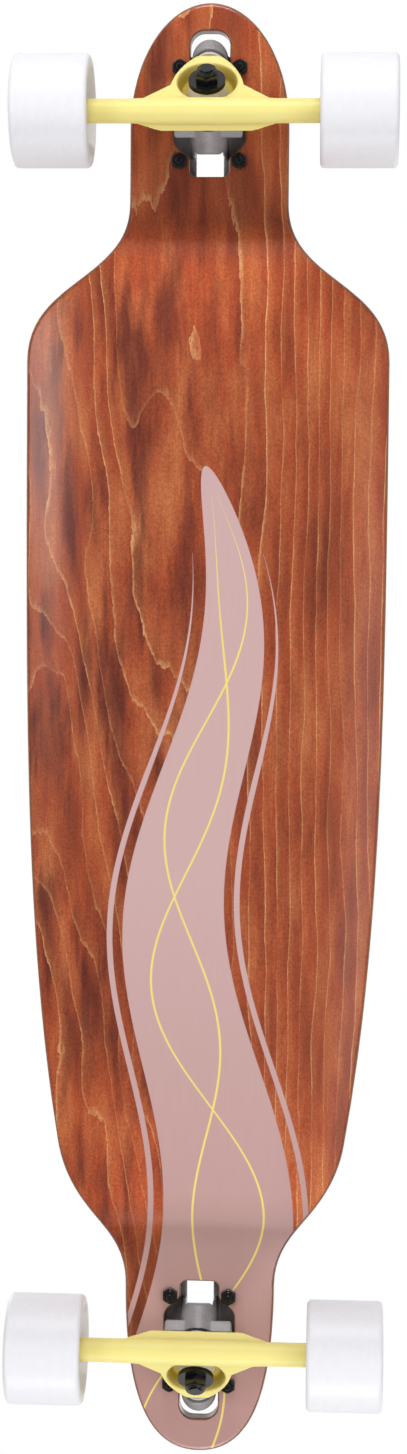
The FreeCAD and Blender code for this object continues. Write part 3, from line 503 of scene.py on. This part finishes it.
# which finish each CAD node wears
wears = {"deck": "veneer", "grip_tape": "grip"}
for end in ends:
    for part, finish in (("hanger", "enamel"), ("baseplate", "casting"), ("pivot_cup", "pale_urethane"),
                         ("kingpin", "black_steel"), ("kingpin_nut", "black_steel"),
                         ("bushing_washers", "black_steel"), ("boardside_bushing", "cream_urethane"),
                         ("roadside_bushing", "cream_urethane"), ("axle", "zinc_steel"),
                         ("axle_nuts", "zinc_steel"), ("speed_washers", "zinc_steel"),
                         ("mounting_bolts", "black_steel"), ("mounting_nuts", "black_steel")):
        wears[end + "_" + part] = finish
for corner in corners:
    for part, finish in (("tyre", "white_urethane"), ("wheel_core", "beige_nylon"),
                         ("bearing_outer_rings", "bearing_steel"), ("bearing_inner_rings", "bearing_steel"),
                         ("bearing_balls", "bearing_steel"), ("bearing_shields", "shield_rubber"),
                         ("bearing_spacer", "turned_aluminium")):
        wears[corner + "_" + part] = finish
for name, finish in wears.items():
    data = nodes[name].data
    data.materials.clear()
    data.materials.append(materials[finish])
print("nodes dressed:", len(wears), "of", len(nodes))


def selectOnly(piece):
    bpy.ops.object.select_all(action="DESELECT")
    piece.select_set(True)
    bpy.context.view_layer.objects.active = piece


# Castings: copies with their edges softened as sand and paint leave them, in mm
casts = {
    "merge": 0.005, "voxel": 0.8, "ease": 0.5, "passes": {"hanger": 10, "baseplate": 4},
    "slot": {"hanger": "yellow_cast_aluminium", "baseplate": "cast_aluminium"},
}


def softCast(end, part, body):
    name = end + "_" + part
    selectOnly(nodes[name])
    bpy.ops.object.duplicate()
    piece = bpy.context.object
    piece.name = name + "_cast"
    for key in ("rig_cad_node", "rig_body"):  # the copy is a piece of its own
        if key in piece:
            del piece[key]
    selectOnly(piece)
    bpy.ops.object.mode_set(mode="EDIT")
    bpy.ops.mesh.select_all(action="SELECT")
    bpy.ops.mesh.remove_doubles(threshold=casts["merge"] * millimetre)
    bpy.ops.object.mode_set(mode="OBJECT")
    skin = piece.modifiers.new("skin", "REMESH")
    skin.mode = "VOXEL"
    skin.voxel_size = casts["voxel"] * millimetre
    skin.use_smooth_shade = True
    ease = piece.modifiers.new("ease", "SMOOTH")
    ease.factor = casts["ease"]
    ease.iterations = casts["passes"][part]
    bpy.ops.object.modifier_apply(modifier=skin.name)
    bpy.ops.object.modifier_apply(modifier=ease.name)
    piece.data.materials.clear()
    piece.data.materials.append(materials[wears[name]])
    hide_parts(name)
    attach(piece, body)
    return piece


for end in ends:
    for part, body in (("hanger", end + "_truck_arm"), ("baseplate", "board")):
        piece = softCast(end, part, body)
        print("cast piece:", piece.name, len(piece.data.polygons), "faces")

# Bushings: cone on the road side, barrel on the board side. The truck's
# place is in metres, and a profile is radius and height along the kingpin in mm
bushings = {
    "sides": 64, "axleHeight": 0.0375, "axleX": {"front": 0.4245, "rear": -0.42}, "lean": 42.0,
    "reach": 0.025, "merge": 0.00001, "smooth": 40.0,  # lean and smooth in degrees
    "roadside": [(4.79, -5.5), (9.8, -5.5), (10.4, -5.1), (10.4, -3.6), (10.8, -3.1), (12.0, 0.0),
                 (13.0, 3.0), (13.4, 4.6), (13.3, 5.6), (12.9, 6.2), (12.2, 6.5), (4.79, 6.5)],
    "boardside": [(4.79, 12.5), (12.3, 12.5), (12.9, 12.8), (13.3, 13.4), (13.45, 15.0), (13.5, 18.5),
                  (13.45, 22.0), (13.3, 23.6), (12.9, 24.2), (12.3, 24.5), (4.79, 24.5)],
    # heights that stay with the board and that go with the hanger
    "held": {"roadside": -5.5, "boardside": 24.5}, "carried": {"roadside": 6.5, "boardside": 12.5},
}


def turnedBushing(end, part):
    bpy.ops.object.select_all(action="DESELECT")
    profile = bushings[part]
    radius, height = profile[0]
    bpy.ops.mesh.primitive_circle_add(vertices=bushings["sides"], radius=radius * millimetre,
                                      location=(0, 0, height * millimetre))
    piece = bpy.context.object
    piece.name = end + "_" + part + "_urethane"
    bpy.ops.object.mode_set(mode="EDIT")
    bpy.ops.mesh.select_all(action="SELECT")
    for nextRadius, nextHeight in profile[1:] + profile[:1]:
        rise = (nextHeight - height) * millimetre
        bpy.ops.mesh.extrude_edges_move(TRANSFORM_OT_translate={"value": (0, 0, rise)})
        share = nextRadius / radius
        bpy.ops.transform.resize(value=(share, share, 1))
        radius, height = nextRadius, nextHeight
    bpy.ops.mesh.select_all(action="SELECT")
    bpy.ops.mesh.remove_doubles(threshold=bushings["merge"])
    bpy.ops.mesh.normals_make_consistent(inside=False)
    bpy.ops.object.mode_set(mode="OBJECT")
    bpy.ops.object.transform_apply(location=True, rotation=True, scale=True)
    lean = math.radians(bushings["lean"])
    reach = bushings["reach"]
    piece.location = (reach * math.cos(lean), 0, reach * math.sin(lean))
    piece.rotation_euler = (0, -lean, 0)
    bpy.ops.object.transform_apply(location=True, rotation=True, scale=True)
    if end == "rear":
        piece.rotation_euler = (0, 0, math.pi)
    piece.location = (bushings["axleX"][end], 0, bushings["axleHeight"])
    bpy.ops.object.transform_apply(location=True, rotation=True, scale=True)
    bpy.ops.object.shade_smooth_by_angle(angle=math.radians(bushings["smooth"]))
    piece.data.materials.append(materials["cream_urethane"])
    return piece


for end in ends:
    for part in ("roadside", "boardside"):
        piece = turnedBushing(end, part)
        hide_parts(end + "_" + part + "_bushing")
        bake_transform(piece)
        print("bushing:", piece.name)

# Stage: the floor shows only from above, so that the board can be seen from below as in the picture
stage = {"floor": "#f2f2f2", "size": 9.0, "height": -0.0002, "glow": 0.12, "ambient": 0.45, "below": 0.1,
         "horizon": 0.35}


def buildStage():
    bpy.ops.object.select_all(action="DESELECT")
    bpy.ops.mesh.primitive_plane_add(size=stage["size"], location=(0, 0, stage["height"]))
    floor = bpy.context.object
    floor.name = "floor"
    material = bpy.data.materials.new("paper_floor")
    material.use_nodes = True
    tree = material.node_tree
    tree.nodes.clear()
    paper = addNode(tree, "BsdfDiffuse", {"Color": hexColour(stage["floor"])})
    seen = addNode(tree, "LightPath").outputs["Is Camera Ray"]
    glow = addNode(tree, "Math", {0: seen, 1: stage["glow"]}, operation="MULTIPLY").outputs[0]
    glow = addNode(tree, "Emission", {"Strength": glow})
    paper = addNode(tree, "AddShader", {0: paper.outputs[0], 1: glow.outputs[0]})
    clear = addNode(tree, "BsdfTransparent")
    behind = addNode(tree, "NewGeometry")
    mixed = addNode(tree, "MixShader", {0: behind.outputs["Backfacing"], 1: paper.outputs[0],
                                        2: clear.outputs[0]})
    addNode(tree, "OutputMaterial", {"Surface": mixed.outputs[0]})
    floor.data.materials.append(material)
    floor.visible_diffuse = False
    floor.visible_glossy = False
    floor.visible_transmission = False
    floor.visible_shadow = False

    # white to the camera, white above the board and dimmer under it in reflections
    world = bpy.data.worlds.new("studio")
    bpy.context.scene.world = world
    world.use_nodes = True
    tree = world.node_tree
    tree.nodes.clear()
    path = addNode(tree, "LightPath")
    direction = addNode(tree, "TexCoord").outputs["Generated"]
    direction = addNode(tree, "SeparateXYZ", {0: direction}).outputs["Z"]
    mirror = addNode(tree, "MapRange", {"Value": direction, "From Min": -stage["horizon"],
                                        "From Max": stage["horizon"], "To Min": stage["below"],
                                        "To Max": 1.0}).outputs[0]
    seen = addNode(tree, "Math", {0: path.outputs["Is Camera Ray"], 1: path.outputs["Is Transmission Ray"]},
                   operation="MAXIMUM").outputs[0]
    level = addNode(tree, "MixRGB", {"Fac": path.outputs["Is Glossy Ray"],
                                     "Color1": (stage["ambient"],) * 3 + (1,), "Color2": mirror}).outputs[0]
    level = addNode(tree, "MixRGB", {"Fac": seen, "Color1": level, "Color2": (1, 1, 1, 1)}).outputs[0]
    back = addNode(tree, "Background", {"Color": level, "Strength": 1.0})
    addNode(tree, "OutputWorld", {"Surface": back.outputs[0]})


# soft boxes: place and size in metres, power in watts, all turned to the board
lamps = {
    "keyBelow": {"place": (0.33, -1.0, -1.5), "size": (0.35, 0.6), "power": 6.0},
    "fillBelow": {"place": (-0.4, 0.9, -1.4), "size": (1.2, 1.0), "power": 7.5},
    "noseBelow": {"place": (1.68, 0.0, -0.8), "size": (0.7, 0.2), "power": 13.0},
    "tailBelow": {"place": (-1.68, 0.0, -0.8), "size": (0.7, 0.3), "power": 9.5},
    "keyAbove": {"place": (0.8, -1.7, 2.6), "size": (2.0, 2.0), "power": 24.0},
    "fillAbove": {"place": (-0.9, 1.7, 2.4), "size": (2.2, 2.2), "power": 12.0},
}
lampAim = Vector((0, 0, 0.08))


def buildLamps():
    for name, lamp in lamps.items():
        data = bpy.data.lights.new(name, "AREA")
        data.shape = "RECTANGLE"
        data.size, data.size_y = lamp["size"]
        data.energy = lamp["power"]
        piece = bpy.data.objects.new(name, data)
        bpy.context.scene.collection.objects.link(piece)
        piece.location = lamp["place"]
        piece.rotation_euler = (lampAim - Vector(lamp["place"])).to_track_quat("-Z", "Y").to_euler()
        piece.visible_camera = False


# camera under the board, as the picture was taken: metres, degrees and mm
lens = {"place": (0.1085, 0.09025, -1.6115), "turn": (176.673, -3.0877, 89.4997), "focal": 60.35,
        "sensor": 36.0, "near": 0.01}


def buildCamera():
    data = bpy.data.cameras.new("camera")
    data.lens = lens["focal"]
    data.sensor_width = lens["sensor"]
    data.clip_start = lens["near"]
    camera = bpy.data.objects.new("camera", data)
    bpy.context.scene.collection.objects.link(camera)
    camera.location = lens["place"]
    camera.rotation_euler = [math.radians(angle) for angle in lens["turn"]]
    bpy.context.scene.camera = camera


buildStage()
buildLamps()
buildCamera()
bpy.context.scene.view_settings.view_transform = "Standard"
print("stage, lamps and camera set")
